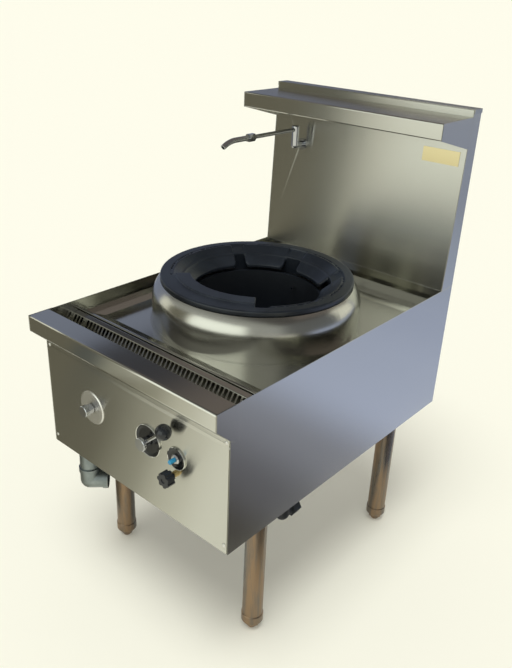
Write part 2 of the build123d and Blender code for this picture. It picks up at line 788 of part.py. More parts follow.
# ---- Gas line ----
def gas_inlet():
    """Elbow and union under the cabinet's right side, open to the rear."""
    x, y, z = gas_inlet_x, gas_inlet_y, gas_inlet_height
    elbow = Pos(x, y, z) * Sphere(gas_elbow_radius) + rod_z(x, y, z, z + gas_elbow_top, gas_elbow_radius)
    end = y + gas_union_length
    arm = rod_y(x, z, y, end, gas_elbow_radius - 2)
    nut = Pos(x, end, z) * Rot(90, 0, 0) * hexagon_bar(gas_union_flats, gas_union_nut)
    thread = rod_y(x, z, end - gas_thread_depth, end, gas_thread_radius)
    return elbow + arm + nut - rod_y(x, z, y, end, gas_bore) - thread


def gas_supply_pipe():
    """Pipe from the inlet up and forward, then along the front to the valve."""
    return pipe([
        (gas_inlet_x, gas_inlet_y, gas_inlet_height + gas_elbow_top),
        (gas_inlet_x, gas_inlet_y, gas_pipe_height), (gas_inlet_x, control_y, gas_pipe_height),
        (valve_x, control_y, gas_pipe_height), (valve_x, control_y, valve_height - valve_half_length),
    ], gas_pipe_radius, gas_pipe_bend)


def gas_valve_body():
    """Ball valve behind the panel, with the neck that comes through it."""
    barrel = rod_z(valve_x, control_y, valve_height - valve_half_length, valve_height + valve_half_length,
                   valve_radius)
    neck = rod_y(valve_x, valve_height, front_y - valve_neck, control_y, valve_neck_radius)
    nut = rod_y(valve_x, valve_height, panel_back_y, panel_back_y + valve_nut, valve_nut_radius)
    return barrel + neck + nut


def burner_feed_pipe():
    """Pipe from the valve under the gutter to the burner's boss."""
    boss_end = -burner_radius - burner_boss
    return pipe([
        (valve_x, control_y, valve_top),
        (valve_x, control_y, feed_start), (valve_x, control_y + feed_shelf, feed_start),
        (valve_x / 2, boss_end - feed_slope_end, feed_height), (0, boss_end - feed_straight, feed_height),
        (0, boss_end, feed_height),
    ], gas_pipe_radius, feed_bend)


def dish(bore, radius, x, z):
    """Round escutcheon with a bright rolled rim, dished towards its bore."""
    edge = radius - rim_ring
    return facing_front(x, z, turned([
        (bore, 0), (radius, 0), (radius, rim_ring_depth - 1), (radius - rim_ring / 2, rim_ring_depth),
        (edge, rim_ring_depth - 1), (edge - 3, dish_depth - 0.5), (edge - 7, dish_hollow),
        (bore, dish_hollow)]))


def gas_valve_dish():
    return dish(valve_neck_radius, dish_radius, valve_x, valve_height)


def button_dish():
    return dish(button_neck_radius, button_dish_radius, button_x, button_height)


def capped_head(neck_radius, neck, radius, cap_radius, cap, front):
    """Turned head that runs on a neck: waist, wider cap, and a bore."""
    start = dish_depth + rim_ring
    bore = neck_radius + running_gap
    roof = neck + 4 * running_gap
    return turned([
        (bore, start), (radius, start), (radius, front - cap), (cap_radius, front - cap),
        (cap_radius, front - head_bevel), (cap_radius - head_bevel, front), (0, front), (0, roof),
        (bore, roof)])


def gas_valve_head():
    head = capped_head(valve_neck_radius, valve_neck, head_radius, head_cap_radius, head_cap, head_front)
    return facing_front(valve_x, valve_height, head)


def lever_point(distance):
    """Point on the lever's centre line, so far out from the valve's axis."""
    turn = radians(lever_angle)
    ahead = lever_root + (lever_tip - lever_root) * distance / lever_length
    return Vector(valve_x + distance * cos(turn), front_y - ahead, valve_height + distance * sin(turn))


def lever_bar():
    """The lever's round bar, from the valve's axis into the ball."""
    root, tip = lever_point(0), lever_point(lever_length - lever_ball_radius + lever_ball_seat)
    bar = Cylinder(lever_radius, (tip - root).length, align=(Align.CENTER, Align.CENTER, Align.MIN))
    return Plane(origin=root, z_dir=tip - root) * bar


def gas_lever():
    """Bar outside the head."""
    waist = rod_y(valve_x, valve_height, front_y, front_y - head_front, head_radius)
    cap = rod_y(valve_x, valve_height, front_y - head_front + head_cap, front_y - head_front - 1,
                head_cap_radius)
    return lever_bar() - waist - cap


def gas_lever_ball():
    return Pos(*lever_point(lever_length)) * Sphere(lever_ball_radius) - lever_bar()


# ---- Igniter ----
def igniter_button():
    """Push button, at rest."""
    return facing_front(button_x, button_height, turned([
        (0, -button_tail), (button_radius, -button_tail), (button_radius, button_front - 1),
        (button_radius - 1, button_front), (0, button_front)]))


def igniter_body():
    """Piezo cartridge: body behind the panel, neck through it, ferrule in front and the button's bore."""
    bore = button_radius + running_gap
    depth = -(button_tail + button_travel + 2.0)
    seat = dish_hollow
    return facing_front(button_x, button_height, turned([
        (bore, button_nut), (button_nut_radius - 2.5, button_nut), (button_nut_radius, button_nut - 3),
        (button_nut_radius, seat), (button_neck_radius, seat), (button_neck_radius, -sheet),
        (igniter_radius, -sheet), (igniter_radius, -igniter_length), (0, -igniter_length),
        (0, depth), (bore, depth)]))


# ---- Pilot valve and its star knob ----
def pilot_valve_body():
    """Small brass valve on a branch of the gas pipe."""
    neck = rod_y(knob_x, knob_height, front_y - pilot_neck, control_y, pilot_neck_radius)
    body = rod_y(knob_x, knob_height, front_y + 14, control_y + pilot_valve_radius, pilot_valve_radius)
    branch = rod_z(knob_x, control_y, gas_pipe_height, knob_height, pilot_branch_radius)
    branch -= rod_x(control_y, gas_pipe_height, valve_x, gas_inlet_x, gas_pipe_radius)
    bore = rod_y(knob_x, knob_height, front_y - pilot_neck, front_y + 5, knob_stem_radius + running_gap)
    return neck + body + branch - bore


def star_knob():
    """Lobed knob with its stem; the stem runs in the valve's neck."""
    back = knob_front - knob_thickness
    lobed = Cylinder(knob_radius, knob_thickness, align=(Align.CENTER, Align.CENTER, Align.MIN))
    flute = Cylinder(knob_flute_radius, knob_thickness, align=(Align.CENTER, Align.CENTER, Align.MIN))
    lobed -= [Rot(0, 0, 360.0 * index / knob_lobes) * Pos(knob_radius + knob_flute_inset, 0, 0) * flute
              for index in range(knob_lobes)]
    lobed -= Pos(0, 0, knob_thickness - knob_recess) * hexagon_bar(knob_recess_flats, knob_recess)
    length = back + knob_stem
    stem = Pos(0, 0, -length) * Cylinder(knob_stem_radius, length,
                                         align=(Align.CENTER, Align.CENTER, Align.MIN))
    return facing_front(knob_x, knob_height, Pos(0, 0, back) * (lobed + stem))


def pilot_tube():
    """Thin tube from the pilot valve to the pilot tip."""
    start_y = control_y + pilot_valve_radius
    return pipe([
        (knob_x, start_y, knob_height), (knob_x, start_y + pilot_tube_shelf, knob_height),
        (knob_x, start_y + pilot_tube_shelf, pilot_tube_height),
        (knob_x, -pilot_tube_corner, pilot_tube_height), (pilot_x, -pilot_tube_turn, pilot_tube_height),
        (pilot_x, -pilot_radius, pilot_tube_height),
    ], pilot_tube_radius, pilot_tube_bend)


# ---- Water tap, pipes and faucet ----
def tap_escutcheon():
    plate = turned([(tap_neck_radius, 0), (escutcheon_radius, 0), (escutcheon_radius, escutcheon * 0.4),
                    (escutcheon_radius - 3, escutcheon), (tap_neck_radius, escutcheon)])
    return facing_front(tap_x, tap_height, plate)


def tap_valve_body():
    barrel = rod_z(tap_x, control_y, tap_height - tap_half_length, tap_height + tap_half_length,
                   tap_body_radius)
    neck = rod_y(tap_x, tap_height, front_y - tap_neck, control_y, tap_neck_radius)
    nut = rod_y(tap_x, tap_height, panel_back_y, panel_back_y + valve_nut, valve_nut_radius)
    return barrel + neck + nut


def tap_head():
    head = capped_head(tap_neck_radius, tap_neck, tap_head_radius, tap_cap_radius, tap_cap, tap_front)
    return facing_front(tap_x, tap_height, head)


def water_inlet():
    """Hose union under the rear of the cabinet."""
    roof = water_nut_z + water_nut - water_nut_roof
    nut = Pos(tap_x, water_inlet_y, water_nut_z) * hexagon_bar(water_nut_flats, water_nut)
    spout = rod_z(tap_x, water_inlet_y, water_inlet_bottom, water_nut_z, water_inlet_radius)
    return nut + spout - rod_z(tap_x, water_inlet_y, water_inlet_bottom, roof, water_bore)


def water_supply_pipe():
    return pipe([
        (tap_x, water_inlet_y, water_nut_z + water_nut), (tap_x, water_inlet_y, water_low),
        (tap_x, control_y, water_low), (tap_x, control_y, tap_height - tap_half_length),
    ], water_pipe_radius, water_pipe_bend)


def faucet_feed_pipe():
    """Pipe from the tap under the deck and up inside the splashback."""
    riser_y = faucet_riser_y()
    return pipe([
        (tap_x, control_y, tap_height + tap_half_length), (tap_x, control_y, water_high),
        (tap_x, control_y + faucet_feed_shelf, water_high),
        (faucet_x, control_y + faucet_feed_turn, water_high),
        (faucet_x, riser_y, water_high), (faucet_x, riser_y, faucet_height - faucet_radius),
    ], water_pipe_radius, water_pipe_bend)


def faucet_flange_disc():
    """Wall flange that follows the lean of the splashback, on the middle plane."""
    reach = 2 * faucet_flange_radius
    z0, z1 = faucet_height - reach, faucet_height + reach
    outline = [(splash_y(z0), z0), (splash_y(z0) - faucet_flange, z0), (splash_y(z1) - faucet_flange, z1),
               (splash_y(z1), z1)]
    layer = slab(outline, -reach, reach)
    disc = rod_y(0, faucet_height, shelf_front, rear_y, faucet_flange_radius)
    return layer & disc


def faucet_body():
    """Wall elbow: inlet behind the sheet, spigot through it and the riser in front."""
    wall = splash_y(faucet_height)
    riser_y = wall - faucet_offset
    back = wall + faucet_elbow_depth
    spigot = rod_y(0, faucet_height, riser_y, back, faucet_radius)
    knuckle = Pos(0, riser_y, faucet_height) * Sphere(faucet_radius)
    inlet = Pos(0, back, faucet_height) * Sphere(faucet_radius)
    inlet += rod_z(0, back, faucet_height - faucet_radius, faucet_height, faucet_radius)
    riser = rod_z(0, riser_y, faucet_height, faucet_riser_top, faucet_radius)
    bore = rod_z(0, riser_y, faucet_riser_top - arm_pin - 1, faucet_riser_top,
                 arm_pin_radius + running_gap)
    body = spigot + knuckle + inlet + riser + faucet_flange_disc() - bore
    return Pos(faucet_x, 0, 0) * body


def faucet_arm():
    """Hub with its pin, the tube that swings over the deck, and the swivel nut on its end."""
    axis_y = splash_y(faucet_height) - faucet_offset
    hub = rod_z(faucet_x, axis_y, faucet_riser_top, arm_hub_top, arm_hub_radius)
    hub = fillet(hub.edges().group_by(Axis.Z)[-1], 3.0)
    pin = rod_z(faucet_x, axis_y, faucet_riser_top - arm_pin, faucet_riser_top + 1, arm_pin_radius)
    tube = rod_y(faucet_x, arm_height, axis_y, axis_y - arm_length, arm_radius)
    end_y = axis_y - arm_length
    nut = Pos(faucet_x, end_y, arm_height) * Rot(90, 0, 0) * hexagon_bar(swivel_nut_flats, swivel_nut)
    bore = rod_y(faucet_x, arm_height, end_y - 2, end_y - swivel_nut, nozzle_journal_radius + running_gap)
    return hub + pin + tube + nut - bore


def faucet_nozzle():
    """Straight barrel and a downward curve, open at the tip."""
    start_y = splash_y(faucet_height) - faucet_offset - arm_length - swivel_nut - 3 * running_gap
    bend_y = start_y - nozzle_straight
    centre_z = arm_height - nozzle_arc_radius
    turn = radians(nozzle_arc)
    half = turn / 2
    tip = (faucet_x, bend_y - nozzle_arc_radius * sin(turn), centre_z + nozzle_arc_radius * cos(turn))
    middle = (faucet_x, bend_y - nozzle_arc_radius * sin(half), centre_z + nozzle_arc_radius * cos(half))
    path = ThreePointArc((faucet_x, bend_y, arm_height), middle, tip)
    start = Plane(origin=path @ 0, z_dir=path % 0)
    spout = sweep(start * Circle(nozzle_radius), path)
    bore = sweep(start * Circle(nozzle_bore), path)
    barrel = rod_y(faucet_x, arm_height, start_y, bend_y, nozzle_radius)
    journal = rod_y(faucet_x, arm_height, start_y + swivel_nut * 0.75, start_y, nozzle_journal_radius)
    return barrel + spout - bore + journal


# ---- Splashback and shelf ----
def splash_front():
    """Leaning front sheet of the splashback."""
    outline = [(splash_y(rim_height), rim_height), (splash_y(splash_top), splash_top),
               (splash_y(splash_top) + sheet, splash_top), (splash_y(rim_height) + sheet, rim_height)]
    hole = rod_y(faucet_x, faucet_height, deck_rear_y - 5, rear_y, faucet_radius)
    return slab(outline, -inner_x, inner_x) - hole


def splash_casing():
    """Sides and back of the splashback, folded from one sheet."""
    outline = [(splash_y(rim_height), rim_height), (rear_y, rim_height), (rear_y, splash_top),
               (splash_y(splash_top), splash_top)]
    body = slab(outline, -half_width, half_width)
    hollow = block(-inner_x, inner_x, deck_rear_y - 10, rear_y - sheet, rim_height - 1, splash_top + 1)
    return body - hollow


def splash_cap():
    """Lid of the splashback with a lip down each side."""
    edge = half_width + splash_cap_sheet
    lid = block(-edge, edge, splash_y(splash_top), rear_y, splash_top, splash_top + splash_cap_sheet)
    lips = [block(side * half_width, side * edge, splash_y(splash_top), rear_y,
                  splash_top - splash_cap_lip, splash_top + splash_cap_sheet) for side in (-1, 1)]
    return lid + lips


def shelf_tray():
    """Shelf folded from one sheet, with a fascia and a hem under it."""
    low = shelf_height - shelf_face
    path = [(shelf_front + shelf_hem, low), (shelf_front, low), (shelf_front, shelf_height),
            (splash_y(shelf_height - sheet), shelf_height)]
    return fold(path, sheet, -inner_x, inner_x)


def shelf_gusset(side):
    """Side bracket between the shelf and the splashback."""
    outline = [(shelf_front, shelf_height), (shelf_front, shelf_height - shelf_face),
               (splash_y(gusset_low), gusset_low), (splash_y(shelf_height), shelf_height)]
    return slab(outline, side * inner_x, side * half_width)


def blank_plate():
    """Plain brass plate without any marking."""
    outline = [(splash_y(plate_bottom), plate_bottom), (splash_y(plate_bottom) - plate_sheet, plate_bottom),
               (splash_y(plate_top) - plate_sheet, plate_top), (splash_y(plate_top), plate_top)]
    return slab(outline, plate_left, plate_right)


# ---- Chassis, legs and feet ----
def chassis_rail(y):
    """Rectangular tube across the cabinet, over a pair of legs."""
    half = chassis_width / 2
    tube = block(-inner_x, inner_x, y - half, y + half, chassis_bottom, chassis_top)
    inside = block(-inner_x, inner_x, y - half + chassis_wall, y + half - chassis_wall,
                   chassis_bottom + chassis_wall, chassis_top - chassis_wall)
    return tube - inside


def leg(x, y):
    """Tube welded under a chassis rail."""
    return Pos(x, y, 0) * turned([
        (leg_radius - leg_wall, leg_foot), (leg_radius, leg_foot), (leg_radius, chassis_bottom),
        (leg_radius - leg_wall, chassis_bottom)])


def leg_sleeves():
    """Flanged sleeves in the lower ends of the legs."""
    bore = foot_stem_radius + running_gap
    sleeve = turned([
        (bore, sleeve_bottom), (sleeve_radius - 2, sleeve_bottom), (sleeve_radius, sleeve_bottom + 3),
        (sleeve_radius, leg_foot - 2), (leg_radius, leg_foot), (leg_radius - leg_wall, leg_foot),
        (leg_radius - leg_wall, leg_foot + sleeve_spigot), (bore, leg_foot + sleeve_spigot)])
    return [Pos(x, y, 0) * sleeve for x, y in foot_corners.values()]


def foot(x, y):
    """Levelling foot: hexagon tapered to a small sole, with its stem in the sleeve."""
    nut = Pos(0, 0, foot_cone) * hexagon_bar(foot_flats, sleeve_bottom - foot_cone)
    sole = loft([Circle(foot_sole_radius), Pos(0, 0, foot_cone) * Circle(foot_flats / 2)], ruled=True)
    stem = rod_z(0, 0, sleeve_bottom - 2, foot_stem_top, foot_stem_radius)
    return Pos(x, y, 0) * (nut + sole + stem)


# ---- Drain ----
def drain_stub():
    """Pipe that hangs from the gutter's floor."""
    bottom = elbow_height + elbow_inlet - elbow_bead
    top = gutter_floor - gutter_sheet
    bore = drain_radius - drain_wall
    return Pos(drain_x, drain_y, 0) * turned([
        (bore, bottom), (drain_radius, bottom), (drain_radius, top - drain_flange),
        (drain_flange_radius, top - drain_flange), (drain_flange_radius, top), (bore, top)])


def drain_elbow():
    """Malleable elbow with beads at both mouths."""
    bore = drain_radius - drain_wall
    inlet_z = elbow_inlet
    body = Sphere(elbow_radius) + rod_z(0, 0, 0, inlet_z, elbow_radius)
    body += rod_x(0, 0, 0, elbow_reach, elbow_radius)
    body += rod_z(0, 0, inlet_z - elbow_bead, inlet_z, elbow_bead_radius)
    body += rod_x(0, 0, elbow_reach - elbow_bead, elbow_reach, elbow_bead_radius)
    body -= rod_z(0, 0, 0, inlet_z, bore) + Sphere(bore) + rod_x(0, 0, 0, elbow_reach, bore)
    body -= rod_z(0, 0, inlet_z - elbow_bead, inlet_z, drain_radius)
    body -= rod_x(0, 0, elbow_reach - elbow_bead, elbow_reach, drain_radius)
    return Pos(drain_x, drain_y, elbow_height) * Rot(0, 0, elbow_turn) * body


FEET = {f"foot_{corner}": foot(x, y) for corner, (x, y) in foot_corners.items()}

PIECES = {
    "side_panel_left": side_panel(-1),
    "side_panel_right": side_panel(1),
    "front_stiles": [front_stile(-1), front_stile(1)],
    "front_panel": front_panel(),
    "panel_screws": panel_screws(),
    "rear_panel": rear_panel(),
    "front_ledge": front_ledge(),
    "ledge_caps": ledge_caps(),
    "gutter_trough": gutter_trough(),
    "gutter_strainer": gutter_strainer(),
    "gutter_rail": gutter_rail(),
    "deck_pan": deck_pan(),
    "burner_collar": burner_collar(),
    "insulation_ring": insulation_ring(),
    "chamber_liner": chamber_liner(),
    "flame_probe": flame_probe(),
    "wok_ring": wok_ring(),
    "burner_bearer": burner_bearer(),
    "burner_body": burner_body(),
    "burner_jets": burner_jets(),
    "pilot_burner": pilot_burner(),
    "pilot_tube": pilot_tube(),
    "pilot_valve_body": pilot_valve_body(),
    "star_knob": star_knob(),
    "gas_inlet": gas_inlet(),
    "gas_supply_pipe": gas_supply_pipe(),
    "gas_valve_body": gas_valve_body(),
    "burner_feed_pipe": burner_feed_pipe(),
    "gas_valve_dish": gas_valve_dish(),
    "gas_valve_head": gas_valve_head(),
    "gas_lever": gas_lever(),
    "gas_lever_ball": gas_lever_ball(),
    "button_dish": button_dish(),
    "igniter_button": igniter_button(),
    "igniter_body": igniter_body(),
    "tap_escutcheon": tap_escutcheon(),
    "tap_valve_body": tap_valve_body(),
    "tap_head": tap_head(),
    "water_inlet": water_inlet(),
    "water_supply_pipe": water_supply_pipe(),
    "faucet_feed_pipe": faucet_feed_pipe(),
    "faucet_body": faucet_body(),
    "faucet_arm": faucet_arm(),
    "faucet_nozzle": faucet_nozzle(),
    "splash_front": splash_front(),
    "splash_casing": splash_casing(),
    "splash_cap": splash_cap(),
    "shelf_tray": shelf_tray(),
    "blank_plate": blank_plate(),
    "shelf_gussets": [shelf_gusset(-1), shelf_gusset(1)],
    "chassis_rail_front": chassis_rail(leg_front_y),
    "chassis_rail_rear": chassis_rail(leg_rear_y),
    "legs": [leg(x, y) for x, y in foot_corners.values()],
    "leg_sleeves": leg_sleeves(),
    "drain_stub": drain_stub(),
    "drain_elbow": drain_elbow(),
    **FEET,
}

if __name__ == "__main__":
    os.makedirs("parts", exist_ok=True)
    for name, shape in PIECES.items():
        solids = shape if isinstance(shape, list) else [shape]
        export_step(Compound(children=solids) if len(solids) > 1 else solids[0], f"parts/{name}.step")
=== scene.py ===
from math import pi, radians

import bpy
from mathutils import Matrix


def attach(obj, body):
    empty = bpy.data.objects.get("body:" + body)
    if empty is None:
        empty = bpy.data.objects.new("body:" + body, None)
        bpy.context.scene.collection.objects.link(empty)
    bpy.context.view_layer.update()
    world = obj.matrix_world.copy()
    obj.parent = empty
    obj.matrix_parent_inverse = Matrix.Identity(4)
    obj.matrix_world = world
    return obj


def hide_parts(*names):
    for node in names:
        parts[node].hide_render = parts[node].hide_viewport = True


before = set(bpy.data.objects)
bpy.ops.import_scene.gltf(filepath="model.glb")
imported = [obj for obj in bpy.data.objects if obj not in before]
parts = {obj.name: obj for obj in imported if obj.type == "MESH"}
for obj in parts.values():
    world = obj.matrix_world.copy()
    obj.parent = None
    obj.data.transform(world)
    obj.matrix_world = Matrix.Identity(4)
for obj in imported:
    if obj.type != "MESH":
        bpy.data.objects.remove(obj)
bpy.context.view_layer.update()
bpy.ops.object.select_all(action="DESELECT")


# ---- Camera ----
# It stands in front of the range's right corner and looks down into the wok ring.
# Place in metres; the angles run from the cook's side round to the right, down, and clockwise.
camera_place = (1.06274, -1.24884, 1.43793)
camera_round, camera_down, camera_tilt = radians(40.288), radians(26.041), radians(2.464)
camera_reach = 3000.0
sensor_width = 36.0
picture_height = 668
focal_pixels = 719.65

bpy.ops.object.camera_add()
camera = bpy.context.object
camera.name = "camera"
camera.matrix_world = (
    Matrix.Translation(camera_place) @ Matrix.Rotation(camera_round, 4, "Z")
    @ Matrix.Rotation(pi / 2 - camera_down, 4, "X") @ Matrix.Rotation(camera_tilt, 4, "Z"))
camera.data.sensor_width = sensor_width
camera.data.lens = focal_pixels / picture_height * sensor_width
camera.data.clip_end = camera_reach
bpy.context.scene.camera = camera
bpy.context.scene.view_settings.view_transform = "Standard"


# ---- Studio ----
# A pale ivory floor that runs to the horizon, a soft light above the range and an even sky.
# Cards that only metal and gloss see stand round it, as boards do round polished ware.
ivory = (1.0, 1.0, 0.87, 1.0)
floor_colour = (0.94, 0.94, 0.82, 1.0)
floor_size = 2400.0
floor_glow = 0.16
sky_white = (1.0, 0.96, 0.93, 1.0)
sky_level = 0.44
sun_white = (1.0, 1.0, 0.98)
sun_level = 2.02
sun_width = radians(32)
sun_turn = (radians(15), radians(5), 0)


def feed(tree, socket, value):
    """Links a socket to another node's output, or sets it to a plain value."""
    if isinstance(value, bpy.types.NodeSocket):
        tree.links.new(value, socket)
    else:
        socket.default_value = value


def place(tree, kind, **settings):
    """Adds a shader node; its inputs are given by name, with _ for a space, as values or outputs."""
    added = tree.nodes.new(kind)
    for key, value in settings.items():
        label = key.replace("_", " ")
        if label in added.inputs:
            feed(tree, added.inputs[label], value)
        else:
            setattr(added, key, value)
    return added


def combine(tree, operation, first, second, kind="ShaderNodeMath"):
    """The result of a sum on two terms, each a number, a vector or an output."""
    added = place(tree, kind, operation=operation)
    feed(tree, added.inputs[0], first)
    feed(tree, added.inputs[1], second)
    return added.outputs[0]


def object_place(tree):
    """Where a point lies on the object, in metres."""
    return place(tree, "ShaderNodeTexCoord").outputs["Object"]


def seen_directly(tree):
    """1 where the eye, a mirror or glass looks, 0 where light only bounces."""
    path = place(tree, "ShaderNodeLightPath").outputs
    mirrored = combine(tree, "MAXIMUM", path["Is Camera Ray"], path["Is Glossy Ray"])
    return combine(tree, "MAXIMUM", mirrored, path["Is Transmission Ray"])


def mix_shaders(tree, share, first, second):
    """Two shader nodes blended; share is the second one's."""
    mixed = place(tree, "ShaderNodeMixShader")
    for socket, value in zip(mixed.inputs, (share, first.outputs[0], second.outputs[0])):
        feed(tree, socket, value)
    return mixed.outputs[0]


def blank_material(name):
    """A material with no nodes yet, and its tree."""
    made = bpy.data.materials.new(name)
    made.use_nodes = True
    made.node_tree.nodes.clear()
    return made, made.node_tree


sky = bpy.data.worlds.new("sky")
bpy.context.scene.world = sky
sky.use_nodes = True
tree = sky.node_tree
tree.nodes.clear()
even = place(tree, "ShaderNodeBackground", Color=sky_white, Strength=sky_level)
pale = place(tree, "ShaderNodeBackground", Color=ivory, Strength=1.0)
place(tree, "ShaderNodeOutputWorld", Surface=mix_shaders(tree, seen_directly(tree), even, pale))

bpy.ops.mesh.primitive_plane_add(size=floor_size, location=(0, 0, 0))
floor = bpy.context.object
floor.name = "floor"
floor_paint, tree = blank_material("floor_paint")
matt = place(tree, "ShaderNodeBsdfDiffuse", Color=floor_colour)
glow = place(tree, "ShaderNodeEmission", Color=ivory, Strength=1.0)
glow_share = combine(tree, "MULTIPLY", seen_directly(tree), floor_glow)
place(tree, "ShaderNodeOutputMaterial", Surface=mix_shaders(tree, glow_share, matt, glow))
floor.data.materials.append(floor_paint)

bpy.ops.object.light_add(type="SUN", location=(0, 0, 3), rotation=sun_turn)
overhead = bpy.context.object
overhead.name = "overhead"
overhead.data.energy = sun_level
overhead.data.angle = sun_width
overhead.data.color = sun_white
overhead.visible_glossy = False


def card(name, centre, size, turn, stops):
    """A card that only metal and gloss can see; the stops colour it along its own X."""
    bpy.ops.mesh.primitive_plane_add(size=1, location=centre, rotation=turn)
    flat = bpy.context.object
    flat.name = name
    flat.scale = (*size, 1)
    flat.visible_camera = flat.visible_diffuse = flat.visible_shadow = False
    paint, tree = blank_material(name)
    across_card = place(tree, "ShaderNodeSeparateXYZ", Vector=object_place(tree)).outputs["X"]
    ramp = place(tree, "ShaderNodeValToRGB", Fac=combine(tree, "ADD", across_card, 0.5))
    ramp.color_ramp.interpolation = "EASE"
    while len(ramp.color_ramp.elements) < len(stops):
        ramp.color_ramp.elements.new(0.5)
    for element, (spot, tint) in zip(ramp.color_ramp.elements, stops):
        element.position = spot
        element.color = (*tint, 1)
    shine = place(tree, "ShaderNodeEmission", Color=ramp.outputs["Color"])
    place(tree, "ShaderNodeOutputMaterial", Surface=shine.outputs[0])
    flat.data.materials.append(paint)


level = (0, 0, 0)
level_turned = (0, 0, radians(90))
level_mat = (0, 0, radians(-36))
upright_across = (radians(90), 0, 0)
upright_along = (radians(90), 0, radians(90))

pale_light = (1.0, 1.0, 0.87)
bright_board = (1.45, 1.52, 1.40)
daylight = (0.25, 0.28, 0.37)
white_board = (0.42, 0.43, 0.40)
clean_board = (0.45, 0.46, 0.44)
grey_board = (0.16, 0.165, 0.165)
blue_grey_board = (0.14, 0.15, 0.16)
olive = (0.183, 0.172, 0.126)
olive_edge = (0.45, 0.45, 0.38)
slate = (0.115, 0.124, 0.116)
charcoal = (0.055, 0.056, 0.065)
umber = (0.19, 0.165, 0.15)
umber_dark = (0.09, 0.085, 0.08)

card("card_above", (-0.5, 2.3, 2.3), (4.2, 4.4), level,
     [(0, charcoal), (0.14, charcoal), (0.27, umber), (1, umber)])
card("card_left", (-2.6, 2.4, 1.15), (6.0, 2.3), upright_along, [(0, daylight), (1, daylight)])
card("card_rear", (-0.5, 5.2, 1.15), (4.2, 2.3), upright_across, [(0, daylight), (1, daylight)])
card("card_ceiling", (-2.5, -0.6, 5.4), (13.0, 19.0), level_turned,
     [(0, white_board), (0.26, white_board), (0.40, umber_dark), (1, umber_dark)])
card("card_front", (-4.0, -7.1, 2.7), (20.0, 5.4), upright_across,
     [(0, olive), (0.425, olive), (0.4325, slate), (0.4425, slate), (0.455, olive_edge),
      (0.475, pale_light), (0.51, bright_board), (0.88, bright_board), (0.95, white_board)])
card("card_right", (6.0, -0.5, 2.7), (13.2, 5.4), upright_along,
     [(0, white_board), (0.28, clean_board), (0.46, grey_board), (1, blue_grey_board)])

# Three mats on the floor colour what the collar and the sheets see low down.
# On the left olive and slate turn to pale floor; on the right shade turns to blue and fades.
card("mat_far", (-4.815, -3.053, 0.010), (5.0, 8.8), level_mat,
     [(0, olive), (0.85, olive), (0.863, slate), (0.876, slate), (0.90, (0.42, 0.42, 0.34)),
      (0.935, (0.72, 0.72, 0.62)), (0.97, pale_light)])
card("mat_near", (-0.50, -0.87, 0.014), (1.0, 1.05), level_mat,
     [(0, olive), (0.30, olive), (0.47, (0.36, 0.35, 0.27)), (0.62, (0.74, 0.73, 0.60)),
      (0.76, pale_light)])
card("mat_right", (3.5, 5.4, 0.012), (12.0, 6.0), level_turned,
     [(0, (0.05, 0.05, 0.045)), (0.046, (0.086, 0.081, 0.076)), (0.0625, (0.162, 0.164, 0.19)),
      (0.0875, (0.312, 0.326, 0.396)), (0.117, (0.561, 0.633, 0.857)), (0.15, (0.53, 0.60, 0.81)),
      (0.19, (0.476, 0.541, 0.742)), (0.26, (0.42, 0.48, 0.62)), (0.36, (0.36, 0.40, 0.52))])


# ---- Stainless sheets ----
# The cabinet, ledge, gutter, deck, splashback and shelf: 1.2 and 1.5 mm stainless, folded.
# The mill brushed it one way, and its edges are broken by hand.
steel_tint = (0.56, 0.555, 0.505, 1.0)
# The gutter trough's tint is painted light: lighter than the steel, so its inside shows bright through the
# strainer's slots.
trough_painted_light_tint = (0.88, 0.87, 0.80, 1.0)
smear_way = (0.0, 1.0, 0.35)
across = (4, 650, 650)
front_to_back = (650, 4, 650)
folded_edge = 0.0008
thin_edge = 0.0007
sharp_angle = radians(38)
weld_gap = 0.00002


def new_group(name, inputs, outputs):
    """Starts a shader group with its sockets."""
    group = bpy.data.node_groups.new(name, "ShaderNodeTree")
    for label, kind in inputs:
        group.interface.new_socket(label, in_out="INPUT", socket_type=kind)
    for label, kind in outputs:
        group.interface.new_socket(label, in_out="OUTPUT", socket_type=kind)
    return group, group.nodes.new("NodeGroupInput").outputs, group.nodes.new("NodeGroupOutput").inputs


def noise(tree, vector, scale, detail, roughness=0.5):
    """A noise pattern from 0 to 1."""
    return place(tree, "ShaderNodeTexNoise", Vector=vector, Scale=scale, Detail=detail,
                 Roughness=roughness).outputs["Fac"]


def spread(tree, value, target, source=(0.0, 1.0)):
    """Maps a value from the source's range to the target's, and stops at its ends."""
    return place(tree, "ShaderNodeMapRange", Value=value, From_Min=source[0], From_Max=source[1],
                 To_Min=target[0], To_Max=target[1]).outputs["Result"]


def mix_colours(tree, share, first, second, blend="MIX"):
    """Two colours blended; share is the second one's."""
    mixed = place(tree, "ShaderNodeMix", data_type="RGBA", blend_type=blend, Factor=share)
    colour_inputs = [socket for socket in mixed.inputs if socket.type == "RGBA"]
    for socket, value in zip(colour_inputs, (first, second)):
        feed(tree, socket, value)
    return next(socket for socket in mixed.outputs if socket.type == "RGBA")


